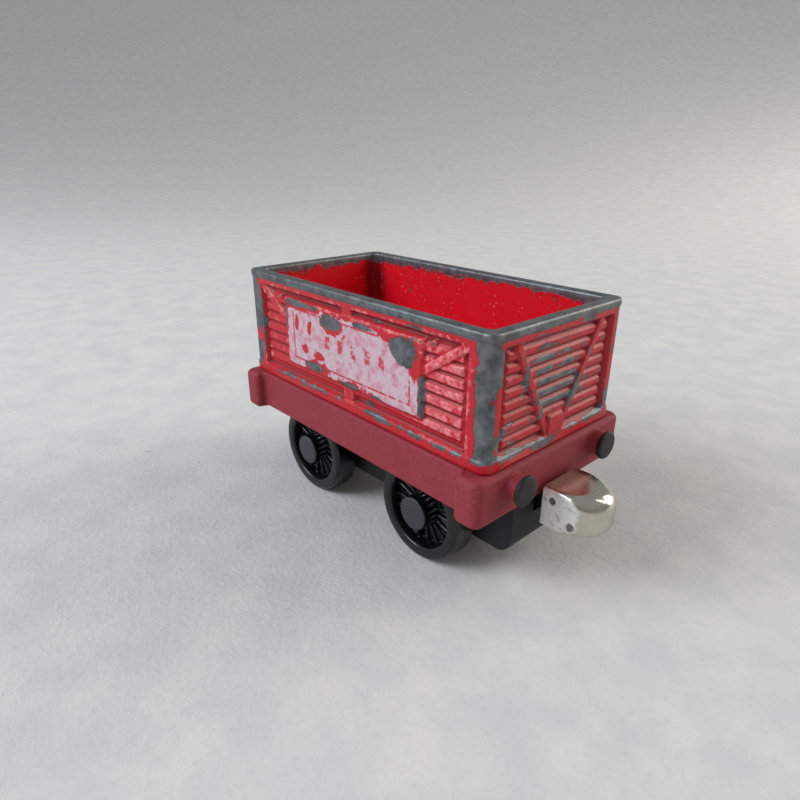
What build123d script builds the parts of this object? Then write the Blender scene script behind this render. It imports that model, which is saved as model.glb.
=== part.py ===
from build123d import *
import math
import os

# Die-cast toy open wagon with magnetic couplings.
# Millimetres.  X runs along the wagon, Y across it, Z up.  The origin is on the
# floor under the middle of the wagon, so the wheels stand on Z = 0.

os.makedirs("parts", exist_ok=True)

# ---------------------------------------------------------------- driving sizes
# Tub casting
tub_length = 50.0
tub_width = 26.4
tub_height = 16.7
tub_wall = 1.6
tub_floor = 1.6
tub_corner = 1.3  # outer corner radius, seen from above
tub_inner_corner = 1.0
lip_height = 1.0  # plain lip round the top edge
lip_proud = 0.15
rim_round = 0.35
flange_height = 1.6  # foot of the tub, where it sits on the chassis
flange_proud = 0.2
top_band = 2.0  # rim down to the top of a recessed panel
side_post = 3.4  # corner post, seen from the side
end_post = 2.2  # corner post, seen from the end
panel_depth = 0.7
panel_foot = 0.1  # flange up to the bottom of a panel
plank_rise = 0.4
plank_gap = 0.45
side_plank_pitch = 1.6
end_plank_pitch = 1.5
plank_margin = 0.8  # bare groove between the planks and the post
plank_bay = 6.9  # planks that show beside the name plate
plate_rise = 0.85
plate_drop = 0.75  # top of the panel down to the plate
plate_foot = 2.0  # bottom of the panel up to the plate
strap_width = 2.2
strap_rise = 0.6
brace_width = 1.2
brace_rise = 0.6
brace_spare = 1.3  # a brace is drawn this much too long, then cut to its panel
side_brace_drop = 4.6  # how far a side brace falls on its way to the plate
end_brace_top = 8.6  # half spread of the V brace at the top
end_brace_foot = 1.3
block_width = 3.2  # block where the two end braces meet
block_height = 2.4
rivet_radius = 0.35
rivet_inset = 1.05  # edge of the panel to a rivet
rivet_spacing = 4.4

# Wheels and axles
wheel_radius = 7.3
wheel_width = 3.6
wheel_edge = 0.6
rim_inner_radius = 5.45
rim_draft = 0.25  # how much the rim's inner face leans
web_depth = 2.0  # outer face of the rim down to the web
web_thickness = 0.9
hub_radius = 2.4
hub_proud = 0.9  # hub face beyond the rim face
hub_round = 0.2
spoke_count = 18
spoke_width = 0.4
spoke_rise = 0.7
spoke_root = 0.3  # how far a spoke runs into the hub and the rim
pin_radius = 0.75  # two small round bosses between hub and rim
pin_circle = 3.9
pin_rise = 1.3
pin_angle = 65.0  # degrees up from the rail, on a wheel at rest
pin_turn = 10.0  # front wheels stand turned on, rear wheels back, by this
spacer_radius = 1.7
spacer_length = 0.9
axle_diameter = 1.6
axle_seat = 4.4  # how far an axle goes into a wheel
axle_chamfer = 0.15
bore_spare = 0.1  # bore left beyond the end of the axle

# Chassis moulding
axle_to_deck = 11.2  # axle up to the face that carries the tub
deck_thickness = 1.2
sole_overhang = 0.6  # sole bar beyond the tub, each side
sole_depth = 5.85
sole_thickness = 1.5
sole_chamfer = 0.3
headstock_overhang = 0.9  # headstock face beyond the tub, each end
headstock_thickness = 3.9
headstock_proud = 1.5  # headstock beyond the sole bar, each side
headstock_depth = 6.25
headstock_corner = 1.4
headstock_round = 0.8
headstock_back_corner = 0.9
headstock_fillet = 0.6  # hollow corner between sole bar and headstock
end_overhang = 13.4  # axle to headstock face
wheel_inset = 2.2  # sole bar face to wheel rim face

# Buffers
buffer_spread = 17.6
buffer_drop = 2.3  # deck down to the buffer centre
collar_radius = 1.75
collar_length = 1.4
buffer_radius = 1.95
buffer_thickness = 0.7
buffer_round = 0.3
buffer_stem_radius = 0.9
buffer_stem_length = 1.8
stem_spare = 0.2  # bore left beyond the end of the stem

# Black base moulding
base_below_axle = 2.7
base_wall = 1.3
base_floor = 1.5
base_end_round = 2.4
base_end_setback = 0.9  # headstock face back to the base end wall
keeper_width = 1.4

# Couplings
pivot_setback = 6.3  # headstock face back to the coupling pivot
pivot_radius = 2.05
shoulder_radius = 3.2
eye_radius = 3.5
arm_width = 3.2
arm_thickness = 2.0
arm_drop = 0.35  # headstock underside down to the arm
swing = 10.0  # degrees each way
cap_standoff = 0.8  # headstock face to the back of the cap
cap_length = 7.5
cap_width = 7.4
cap_height = 5.7
cap_wall = 0.5
cap_above_headstock = 2.25  # headstock underside up to the top of the cap
nose_round = 2.0  # top and bottom of the nose, seen from the side
cap_back_round = 0.4
plug_length = 2.0
peg_radius = 0.45
peg_setback = 1.4  # back of the cap to the snap peg
peg_drop = 1.6  # top of the cap down to the snap peg
magnet_side_gap = 0.6  # magnet to the cap's inner cheeks
magnet_end_gap = 0.75  # magnet to the cap's inner top and bottom
magnet_chamfer = 0.2

# Screws that clamp the tub, chassis and base together
screw_radius = 1.0
screw_head_radius = 1.95
screw_head_height = 1.1
screw_recess = 0.1
screw_bite = 4.6  # screw thread inside the tub boss
boss_radius = 1.75
screw_spare = 0.3  # hole left beyond the end of the screw
driver_slot = 0.5  # width of one lobe of the driver recess
driver_reach = 1.2
driver_depth = 0.65

# Clearances
running_fit = 0.05  # radial, on anything that turns
static_fit = 0.03  # radial, on anything that is only located
side_play = 0.1
vertical_play = 0.1
swing_gap = 0.3
moving_gap = 0.1

# ---------------------------------------------------------------- derived places
axle_height = wheel_radius
deck = axle_height + axle_to_deck
deck_underside = deck - deck_thickness
sole_bottom = deck - sole_depth
headstock_bottom = deck - headstock_depth
sole_half = tub_width / 2 + sole_overhang
headstock_half = sole_half + headstock_proud
headstock_face = tub_length / 2 + headstock_overhang
headstock_back = headstock_face - headstock_thickness
axle_x = headstock_face - end_overhang
rim_face = sole_half - wheel_inset
wheel_back = rim_face - wheel_width
base_half = wheel_back - spacer_length - side_play
base_bottom = axle_height - base_below_axle
base_end = headstock_face - base_end_setback
axle_radius = axle_diameter / 2
axle_half = wheel_back - spacer_length + axle_seat
pivot_x = headstock_face - pivot_setback
arm_top = headstock_bottom - arm_drop
arm_bottom = arm_top - arm_thickness
sleeve_bottom = arm_top + vertical_play
cap_back = headstock_face + cap_standoff
cap_nose = cap_back + cap_length
cap_top = headstock_bottom + cap_above_headstock
cap_bottom = cap_top - cap_height
cap_middle = (cap_top + cap_bottom) / 2
nose_centre = cap_nose - cap_width / 2
inner_nose_radius = cap_width / 2 - cap_wall
inner_nose_round = nose_round - cap_wall
magnet_radius = inner_nose_radius - magnet_side_gap
magnet_height = cap_height - 2 * (cap_wall + magnet_end_gap)
# the rounded inside of the nose keeps the magnet's edge back by this much
magnet_recess = inner_nose_round - math.sqrt(inner_nose_round**2 - (inner_nose_round - magnet_end_gap) ** 2)
magnet_x = cap_nose - cap_wall - magnet_recess - static_fit - magnet_radius
peg_x = cap_back + peg_setback
peg_z = cap_top - peg_drop
ends = {"front": 1, "rear": -1}
sides = {"left": 1, "right": -1}


def side_plane(side, distance, height=0.0):
    """Plane facing out of a long side, local x along the wagon and local y up."""
    return Plane(origin=(0, side * distance, height), x_dir=(-side, 0, 0), z_dir=(0, side, 0))


def end_plane(end, distance, height=0.0):
    """Plane facing out of an end, local x across the wagon and local y up."""
    return Plane(origin=(end * distance, 0, height), x_dir=(0, end, 0), z_dir=(end, 0, 0))


def plank_rows(panel_bottom, panel_top, pitch):
    """Heights of the planks that fill a recessed panel, evenly spaced about its middle."""
    count = int((panel_top - panel_bottom - plank_gap) / pitch)
    middle = (panel_bottom + panel_top) / 2
    return [middle + (row - (count - 1) / 2) * pitch for row in range(count)]


# ---------------------------------------------------------------- tub
# One casting: open box, lip, corner posts, and a recessed planked panel on each
# wall.  Two round bosses under the floor take the screws.
panel_bottom = flange_height + panel_foot
panel_top = tub_height - top_band
panel_height = panel_top - panel_bottom
panel_middle = (panel_top + panel_bottom) / 2
side_panel = tub_length - 2 * side_post
end_panel = tub_width - 2 * end_post
plate_length = side_panel - 2 * plank_bay
plate_bottom = panel_bottom + plate_foot
plate_top = panel_top - plate_drop
rivet_height = deck + panel_top - rivet_inset
rivet_x = side_panel / 2 - rivet_inset

with BuildPart() as tub:
    with BuildSketch(Plane.XY.offset(deck)):
        RectangleRounded(tub_length, tub_width, tub_corner)
    extrude(amount=tub_height)
    # lip round the top and flange round the foot
    with BuildSketch(Plane.XY.offset(deck + tub_height - lip_height)):
        RectangleRounded(tub_length + 2 * lip_proud, tub_width + 2 * lip_proud, tub_corner + lip_proud)
    extrude(amount=lip_height)
    with BuildSketch(Plane.XY.offset(deck)):
        RectangleRounded(tub_length + 2 * flange_proud, tub_width + 2 * flange_proud, tub_corner)
    extrude(amount=flange_height)
    # hollow
    with BuildSketch(Plane.XY.offset(deck + tub_floor)):
        RectangleRounded(tub_length - 2 * tub_wall, tub_width - 2 * tub_wall, tub_inner_corner)
    extrude(amount=tub_height - tub_floor, mode=Mode.SUBTRACT)
    fillet(tub.edges().group_by(Axis.Z)[-1], radius=rim_round)

    # side walls: recessed panel, planks, braces, strap, name plate and rivets
    for side in sides.values():
        wall = side_plane(side, tub_width / 2, deck)
        with BuildSketch(wall):
            with Locations((0, panel_middle)):
                Rectangle(side_panel, panel_height)
        extrude(amount=-panel_depth, mode=Mode.SUBTRACT)
        back = side_plane(side, tub_width / 2 - panel_depth, deck)
        with BuildSketch(back):
            for height in plank_rows(panel_bottom, panel_top, side_plank_pitch):
                with Locations((0, height)):
                    Rectangle(side_panel - 2 * plank_margin, side_plank_pitch - plank_gap)
        extrude(amount=plank_rise)
        with BuildSketch(back):
            brace_angle = math.degrees(math.atan2(side_brace_drop, plank_bay))
            brace_length = brace_spare * math.hypot(side_brace_drop, plank_bay)
            for hand in (-1, 1):
                with Locations((hand * (side_panel - plank_bay) / 2, panel_top - side_brace_drop / 2)):
                    Rectangle(brace_length, brace_width, rotation=hand * brace_angle)
            with Locations((0, panel_middle)):
                Rectangle(side_panel, panel_height, mode=Mode.INTERSECT)
        extrude(amount=brace_rise)
        with BuildSketch(back):
            with Locations((0, panel_middle)):
                Rectangle(strap_width, panel_height)
        extrude(amount=strap_rise)
        with BuildSketch(back):
            with Locations((0, (plate_top + plate_bottom) / 2)):
                Rectangle(plate_length, plate_top - plate_bottom)
        extrude(amount=plate_rise)
        with BuildSketch(side_plane(side, tub_width / 2, rivet_height)):
            for hand in (-1, 1):
                with Locations((hand * rivet_x, 0), (hand * (rivet_x - rivet_spacing), 0)):
                    Circle(rivet_radius)
        extrude(amount=-panel_depth)

    # end walls: recessed panel, planks, V brace and foot block
    for end in ends.values():
        wall = end_plane(end, tub_length / 2, deck)
        with BuildSketch(wall):
            with Locations((0, panel_middle)):
                Rectangle(end_panel, panel_height)
        extrude(amount=-panel_depth, mode=Mode.SUBTRACT)
        back = end_plane(end, tub_length / 2 - panel_depth, deck)
        with BuildSketch(back):
            for height in plank_rows(panel_bottom, panel_top, end_plank_pitch):
                with Locations((0, height)):
                    Rectangle(end_panel - 2 * plank_margin, end_plank_pitch - plank_gap)
        extrude(amount=plank_rise)
        with BuildSketch(back):
            spread = end_brace_top - end_brace_foot
            brace_length = brace_spare * math.hypot(spread, panel_height)
            brace_angle = math.degrees(math.atan2(panel_height, spread))
            for hand in (-1, 1):
                with Locations((hand * (end_brace_top + end_brace_foot) / 2, panel_middle)):
                    Rectangle(brace_length, brace_width, rotation=hand * brace_angle)
            with Locations((0, panel_middle)):
                Rectangle(end_panel, panel_height, mode=Mode.INTERSECT)
        extrude(amount=brace_rise)
        with BuildSketch(back):
            with Locations((0, panel_bottom + block_height / 2)):
                Rectangle(block_width, block_height)
        extrude(amount=plate_rise)

    # screw bosses under the floor
    with BuildSketch(Plane.XY.offset(sleeve_bottom)):
        with Locations((-pivot_x, 0), (pivot_x, 0)):
            Circle(boss_radius)
    extrude(amount=deck - sleeve_bottom)
    with BuildSketch(Plane.XY.offset(sleeve_bottom)):
        with Locations((-pivot_x, 0), (pivot_x, 0)):
            Circle(screw_radius + static_fit)
    extrude(amount=screw_bite + screw_spare, mode=Mode.SUBTRACT)
tub.part.label = "tub"
export_step(tub.part, "parts/tub.step")

# ---------------------------------------------------------------- chassis
# Upside-down tray: deck, two sole bars, two headstocks with buffer collars,
# four keepers that hold the axles down, and two sleeves round the tub bosses.
with BuildPart() as headstock:
    with BuildSketch(Plane.XY.offset(headstock_bottom)) as headstock_plan:
        with Locations((headstock_face - headstock_thickness / 2, 0)):
            Rectangle(headstock_thickness, 2 * headstock_half)
        fillet(headstock_plan.vertices().group_by(Axis.X)[-1], radius=headstock_corner)
        fillet(headstock_plan.vertices().group_by(Axis.X)[0], radius=headstock_back_corner)
    extrude(amount=headstock_depth)
    outlines = headstock.edges().group_by(Axis.Z)
    fillet(outlines[0] + outlines[-1], radius=headstock_round)

with BuildPart() as chassis:
    with BuildSketch(Plane.XY.offset(sole_bottom)):
        Rectangle(2 * headstock_back + headstock_thickness, 2 * sole_half)
    extrude(amount=sole_depth)
    long_top = chassis.edges().filter_by(Axis.X).group_by(Axis.Z)[-1]
    chamfer(long_top, length=sole_chamfer)
    # concave corners between the sole bars and the headstocks
    with BuildSketch(Plane.XY.offset(sole_bottom)):
        for side in sides.values():
            half = headstock_fillet / 2
            with Locations((headstock_back - half, side * (sole_half + half))):
                Rectangle(headstock_fillet, headstock_fillet)
            with Locations((headstock_back - headstock_fillet, side * (sole_half + headstock_fillet))):
                Circle(headstock_fillet, mode=Mode.SUBTRACT)
    extrude(amount=sole_depth - headstock_round)
    add(headstock.part)
    mirror(about=Plane.YZ)
    # hollow under the deck
    with BuildSketch(Plane.XY.offset(headstock_bottom)):
        Rectangle(2 * headstock_back, 2 * (sole_half - sole_thickness))
    extrude(amount=deck_underside - headstock_bottom, mode=Mode.SUBTRACT)
    # buffer collars with a bore for each buffer stem
    for end in ends.values():
        with BuildSketch(end_plane(end, headstock_face, deck - buffer_drop)):
            with Locations((-buffer_spread / 2, 0), (buffer_spread / 2, 0)):
                Circle(collar_radius)
        extrude(amount=collar_length)
        with BuildSketch(end_plane(end, headstock_face + collar_length, deck - buffer_drop)):
            with Locations((-buffer_spread / 2, 0), (buffer_spread / 2, 0)):
                Circle(buffer_stem_radius + static_fit)
        extrude(amount=-(buffer_stem_length + stem_spare), mode=Mode.SUBTRACT)
    # axle keepers
    keeper_bottom = axle_height + axle_radius + running_fit
    with BuildSketch(Plane.XY.offset(keeper_bottom)):
        for end in ends.values():
            for side in sides.values():
                with Locations((end * axle_x, side * (base_half - base_wall / 2))):
                    Rectangle(keeper_width, base_wall)
    extrude(amount=deck_underside - keeper_bottom)
    # sleeves round the tub bosses, which also keep the coupling arms down
    with BuildSketch(Plane.XY.offset(sleeve_bottom)):
        with Locations((-pivot_x, 0), (pivot_x, 0)):
            Circle(shoulder_radius)
    extrude(amount=deck_underside - sleeve_bottom)
    with BuildSketch(Plane.XY.offset(arm_top)):
        with Locations((-pivot_x, 0), (pivot_x, 0)):
            Circle(pivot_radius + static_fit)
    extrude(amount=deck - arm_top, mode=Mode.SUBTRACT)
chassis.part.label = "chassis"
export_step(chassis.part, "parts/chassis.step")

# ---------------------------------------------------------------- base plate
# Black tray between the wheels: axle slots in its side walls, a stepped post
# for each coupling arm, and a counterbored screw hole through each post.
with BuildPart() as base_plate:
    with BuildSketch(Plane.XY.offset(base_bottom)):
        Rectangle(2 * base_end, 2 * base_half)
    extrude(amount=headstock_bottom - moving_gap - base_bottom)
    end_feet = base_plate.edges().filter_by(Axis.Y).group_by(Axis.Z)[0]
    fillet(end_feet, radius=base_end_round)
    with BuildSketch(Plane.XY.offset(headstock_bottom - moving_gap)):
        Rectangle(2 * (headstock_back - static_fit), 2 * base_half)
    extrude(amount=deck_underside - headstock_bottom + moving_gap)
    with BuildSketch(Plane.XY.offset(base_bottom + base_floor)):
        Rectangle(2 * (base_end - base_wall), 2 * (base_half - base_wall))
    extrude(amount=deck_underside - base_bottom, mode=Mode.SUBTRACT)
    # axle slots, open at the top
    slot_half = axle_radius + running_fit
    for end in ends.values():
        with BuildSketch(side_plane(1, 0)):
            with Locations((-end * axle_x, axle_height)):
                Circle(slot_half)
            with Locations((-end * axle_x, (axle_height + deck) / 2)):
                Rectangle(2 * slot_half, deck - axle_height)
        extrude(amount=base_half, both=True, mode=Mode.SUBTRACT)
    # openings in the end walls for the coupling arms
    arm_sweep = (base_end - pivot_x) * math.tan(math.radians(swing))
    opening = arm_width + 2 * (arm_sweep + swing_gap)
    for end in ends.values():
        with BuildSketch(end_plane(end, base_end)):
            with Locations((0, (arm_bottom - swing_gap + deck) / 2)):
                Rectangle(opening, deck - arm_bottom + swing_gap)
        extrude(amount=-(base_end - headstock_back + base_wall), mode=Mode.SUBTRACT)
    # room in the side walls for the swinging eyes of the arms
    with BuildSketch(Plane.XY.offset(arm_bottom - vertical_play)):
        with Locations((-pivot_x, 0), (pivot_x, 0)):
            Circle(eye_radius + swing_gap)
    extrude(amount=deck_underside - arm_bottom + vertical_play, mode=Mode.SUBTRACT)
    # stepped posts
    with BuildSketch(Plane.XY.offset(base_bottom + base_floor)):
        with Locations((-pivot_x, 0), (pivot_x, 0)):
            Circle(shoulder_radius)
    extrude(amount=arm_bottom - vertical_play - base_bottom - base_floor)
    with BuildSketch(Plane.XY.offset(arm_bottom - vertical_play)):
        with Locations((-pivot_x, 0), (pivot_x, 0)):
            Circle(pivot_radius)
    extrude(amount=sleeve_bottom - arm_bottom + vertical_play)
    with Locations((-pivot_x, 0, base_bottom), (pivot_x, 0, base_bottom)):
        Cylinder(
            screw_head_radius + static_fit,
            screw_head_height + screw_recess,
            align=(Align.CENTER, Align.CENTER, Align.MIN),
            mode=Mode.SUBTRACT,
        )
        Cylinder(
            screw_radius + static_fit,
            sleeve_bottom - base_bottom,
            align=(Align.CENTER, Align.CENTER, Align.MIN),
            mode=Mode.SUBTRACT,
        )
base_plate.part.label = "base_plate"
export_step(base_plate.part, "parts/base_plate.step")

# ---------------------------------------------------------------- base screws
# Two pan-head screws, driven from below through the base into the tub bosses.
head_bottom = base_bottom + screw_recess
with BuildPart() as base_screws:
    with Locations((-pivot_x, 0, head_bottom), (pivot_x, 0, head_bottom)):
        Cylinder(screw_head_radius, screw_head_height, align=(Align.CENTER, Align.CENTER, Align.MIN))
        Cylinder(
            screw_radius,
            sleeve_bottom + screw_bite - head_bottom,
            align=(Align.CENTER, Align.CENTER, Align.MIN),
        )
    # three-lobed driver recess
    with BuildSketch(Plane.XY.offset(head_bottom)):
        with Locations((-pivot_x, 0), (pivot_x, 0)):
            for turn in (0, 120, 240):
                Rectangle(driver_reach, driver_slot, rotation=turn, align=(Align.MIN, Align.CENTER))
    extrude(amount=driver_depth, mode=Mode.SUBTRACT)
base_screws.part.label = "base_screws"
export_step(base_screws.part, "parts/base_screws.step")

# ---------------------------------------------------------------- buffer heads
# Black plugs: a disc head and a stem that fits the collar on the headstock.
for end_name, end in ends.items():
    for side_name, side in sides.items():
        centre_y = side * buffer_spread / 2
        seat = end_plane(end, headstock_face + collar_length, deck - buffer_drop)
        with BuildPart() as buffer_head:
            with BuildSketch(seat):
                with Locations((end * centre_y, 0)):
                    Circle(buffer_radius)
            extrude(amount=buffer_thickness)
            face_edge = buffer_head.edges().sort_by(Axis.X)[-1 if end > 0 else 0]
            fillet(face_edge, radius=buffer_round)
            with BuildSketch(seat):
                with Locations((end * centre_y, 0)):
                    Circle(buffer_stem_radius)
            extrude(amount=-buffer_stem_length)
        name = f"buffer_{end_name}_{side_name}"
        buffer_head.part.label = name
        export_step(buffer_head.part, f"parts/{name}.step")

# ---------------------------------------------------------------- axles
# Plain steel pins, chamfered, with a wheel pushed on each end.
for end_name, end in ends.items():
    with BuildPart() as axle:
        with BuildSketch(side_plane(1, 0)):
            with Locations((-end * axle_x, axle_height)):
                Circle(axle_radius)
        extrude(amount=axle_half, both=True)
        chamfer(axle.edges().filter_by(GeomType.CIRCLE), length=axle_chamfer)
    name = f"{end_name}_axle"
    axle.part.label = name
    export_step(axle.part, f"parts/{name}.step")

# ---------------------------------------------------------------- wheels
# Moulded disc wheel: flat tread, rim ring, sunk web with thin spokes, proud
# hub, two pin bosses, and a short spacer behind that keeps it off the base.
web_face = rim_face - web_depth
hub_face = rim_face + hub_proud
for end_name, end in ends.items():
    for side_name, side in sides.items():
        middle = Plane(origin=(end * axle_x, 0, axle_height))
        with BuildPart() as wheel:
            with BuildSketch(middle):
                with BuildLine():
                    Polyline(
                        (0, side * (wheel_back - spacer_length)),
                        (spacer_radius, side * (wheel_back - spacer_length)),
                        (spacer_radius, side * wheel_back),
                        (wheel_radius, side * wheel_back),
                        (wheel_radius, side * rim_face),
                        (rim_inner_radius, side * rim_face),
                        (rim_inner_radius - rim_draft, side * web_face),
                        (hub_radius, side * web_face),
                        (hub_radius, side * hub_face),
                        (0, side * hub_face),
                        close=True,
                    )
                make_face()
            revolve(axis=Axis(middle.origin, (0, 1, 0)))
            circles = wheel.edges().filter_by(GeomType.CIRCLE)
            tread_edge = circles.filter_by(lambda edge: abs(edge.radius - wheel_radius) < 1e-6)
            fillet(tread_edge.sort_by(Axis.Y)[-1 if side > 0 else 0], radius=wheel_edge)
            hub_edge = wheel.edges().filter_by(GeomType.CIRCLE).sort_by(Axis.Y)[-1 if side > 0 else 0]
            fillet(hub_edge, radius=hub_round)
            # spokes and pin bosses stand on the web
            spoke_middle = (hub_radius + rim_inner_radius) / 2
            with BuildSketch(side_plane(side, web_face, axle_height)):
                with Locations((-side * end * axle_x, 0)):
                    with PolarLocations(spoke_middle, spoke_count):
                        Rectangle(rim_inner_radius - hub_radius + 2 * spoke_root, spoke_width)
            extrude(amount=spoke_rise)
            with BuildSketch(side_plane(side, web_face, axle_height)):
                with Locations((-side * end * axle_x, 0)):
                    with PolarLocations(pin_circle, 2, start_angle=pin_angle + pin_turn * end):
                        Circle(pin_radius)
            extrude(amount=pin_rise)
            # sunk ring behind and blind bore for the axle
            with BuildSketch(side_plane(-side, -wheel_back, axle_height)):
                with Locations((side * end * axle_x, 0)):
                    Circle(rim_inner_radius)
                    Circle(hub_radius, mode=Mode.SUBTRACT)
            extrude(amount=-(wheel_width - web_depth - web_thickness), mode=Mode.SUBTRACT)
            with BuildSketch(side_plane(side, wheel_back - spacer_length, axle_height)):
                with Locations((-side * end * axle_x, 0)):
                    Circle(axle_radius)
            extrude(amount=axle_seat + bore_spare, mode=Mode.SUBTRACT)
        name = f"wheel_{end_name}_{side_name}"
        wheel.part.label = name
        export_step(wheel.part, f"parts/{name}.step")

# ---------------------------------------------------------------- couplings
# Each end has a plated steel cap with a round nose, a magnet inside it, and a
# black arm that plugs into the cap and swings on a post of the base plate.
eye_bore = pivot_radius + running_fit
arm_end = cap_back - moving_gap


def cap_plan(end, half_width):
    """Straight cheeks and a round nose, seen from above, as faces of the current sketch."""
    with Locations((end * (cap_back + nose_centre) / 2, 0)):
        Rectangle(nose_centre - cap_back, 2 * half_width)
    with Locations((end * nose_centre, 0)):
        Circle(half_width)


def cap_profile(end, inset, radius):
    """The cap seen from the side, drawn in by inset, with its two nose corners rounded."""
    length = cap_length - inset
    corner_x = cap_back + length - radius
    height = cap_height - 2 * inset
    with Locations((-end * (cap_back + corner_x) / 2, cap_middle)):
        Rectangle(corner_x - cap_back, height)
    with Locations((-end * corner_x, cap_middle)):
        Rectangle(2 * radius, height - 2 * radius)
    with Locations((-end * corner_x, cap_middle + height / 2 - radius)):
        Circle(radius)
    with Locations((-end * corner_x, cap_middle - height / 2 + radius)):
        Circle(radius)


for end_name, end in ends.items():
    with BuildPart() as cavity:
        with BuildSketch(Plane.XY.offset(cap_bottom)):
            cap_plan(end, inner_nose_radius)
        extrude(amount=cap_height)
        with BuildSketch(side_plane(1, 0)):
            cap_profile(end, cap_wall, inner_nose_round)
        extrude(amount=cap_width, both=True, mode=Mode.INTERSECT)

    with BuildPart() as cap:
        with BuildSketch(Plane.XY.offset(cap_bottom)):
            cap_plan(end, cap_width / 2)
        extrude(amount=cap_height)
        back_corners = cap.edges().filter_by(Axis.Z).group_by(Axis.X)[0 if end > 0 else -1]
        fillet(back_corners, radius=cap_back_round)
        with BuildSketch(side_plane(1, 0)):
            cap_profile(end, 0, nose_round)
        extrude(amount=cap_width, both=True, mode=Mode.INTERSECT)
        add(cavity.part, mode=Mode.SUBTRACT)
        with BuildSketch(side_plane(1, 0, peg_z)):
            with Locations((-end * peg_x, 0)):
                Circle(peg_radius + static_fit)
        extrude(amount=cap_width, both=True, mode=Mode.SUBTRACT)
    name = f"{end_name}_coupler_cap"
    cap.part.label = name
    export_step(cap.part, f"parts/{name}.step")

    with BuildPart() as magnet:
        with Locations((end * magnet_x, 0, cap_middle)):
            Cylinder(magnet_radius, magnet_height)
        chamfer(magnet.edges().filter_by(GeomType.CIRCLE), length=magnet_chamfer)
    name = f"{end_name}_magnet"
    magnet.part.label = name
    export_step(magnet.part, f"parts/{name}.step")

    with BuildPart() as arm:
        with BuildSketch(Plane.XY.offset(arm_bottom)):
            with Locations((end * pivot_x, 0)):
                Circle(eye_radius)
            with Locations((end * (pivot_x + arm_end) / 2, 0)):
                Rectangle(arm_end - pivot_x, arm_width)
            with Locations((end * pivot_x, 0)):
                Circle(eye_bore, mode=Mode.SUBTRACT)
        extrude(amount=arm_thickness)
        with BuildSketch(Plane.XY.offset(cap_bottom + cap_wall + static_fit)):
            with Locations((end * (arm_end + plug_length / 2), 0)):
                Rectangle(plug_length, 2 * (inner_nose_radius - static_fit))
        extrude(amount=cap_height - 2 * (cap_wall + static_fit))
        with BuildSketch(side_plane(1, 0, peg_z)):
            with Locations((-end * peg_x, 0)):
                Circle(peg_radius)
        extrude(amount=(cap_width - cap_wall) / 2, both=True)
        with Locations((end * magnet_x, 0, cap_middle)):
            Cylinder(magnet_radius + static_fit, cap_height, mode=Mode.SUBTRACT)
    name = f"{end_name}_coupler_arm"
    arm.part.label = name
    export_step(arm.part, f"parts/{name}.step")
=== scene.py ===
import math

import bmesh
import bpy
import numpy as np
from mathutils import Matrix, Vector


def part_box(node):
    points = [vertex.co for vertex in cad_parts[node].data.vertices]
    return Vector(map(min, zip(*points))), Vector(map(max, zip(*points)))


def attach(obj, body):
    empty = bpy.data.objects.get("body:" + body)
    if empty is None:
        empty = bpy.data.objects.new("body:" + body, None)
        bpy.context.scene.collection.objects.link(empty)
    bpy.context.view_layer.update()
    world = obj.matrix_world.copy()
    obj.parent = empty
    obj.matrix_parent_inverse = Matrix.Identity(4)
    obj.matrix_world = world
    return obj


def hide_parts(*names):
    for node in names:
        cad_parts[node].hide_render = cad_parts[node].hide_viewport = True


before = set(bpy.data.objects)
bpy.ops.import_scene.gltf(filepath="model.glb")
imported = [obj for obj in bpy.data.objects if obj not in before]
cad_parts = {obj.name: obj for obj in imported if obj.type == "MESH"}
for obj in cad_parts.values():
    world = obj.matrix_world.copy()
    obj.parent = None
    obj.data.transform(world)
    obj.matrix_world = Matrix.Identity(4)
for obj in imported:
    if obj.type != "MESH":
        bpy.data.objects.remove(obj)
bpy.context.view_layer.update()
MM = 0.001


# ---------------------------------------------------------------- camera
# A short lens close to the wagon, a little above it, looking at its right side
# and front end.  The angles are the camera's bearing, height and tilt.
CAMERA_PLACE = (0.06166, -0.05964, 0.05253)
LENS = 26.77


def camera_axes(azimuth, elevation, roll):
    """Right, up and back of a camera: back points from the wagon to the camera at that
    azimuth and elevation, right is level, up is back x right, and both turn by roll."""
    a, e, r = (math.radians(angle) for angle in (azimuth, elevation, roll))
    back = Vector((math.sin(a) * math.cos(e), -math.cos(a) * math.cos(e), math.sin(e)))
    level = Vector((math.cos(a), math.sin(a), 0))
    right = level * math.cos(r) + back.cross(level) * math.sin(r)
    return right, back.cross(right), back


camera = bpy.data.objects.new("camera", bpy.data.cameras.new("camera"))
bpy.context.scene.collection.objects.link(camera)
bpy.context.scene.camera = camera
camera.data.lens = LENS
camera.data.clip_start = 5 * MM
axes = Matrix(camera_axes(azimuth=47.6, elevation=22.77, roll=0.29)).transposed()
camera.matrix_world = Matrix.Translation(CAMERA_PLACE) @ axes.to_4x4()


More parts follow.
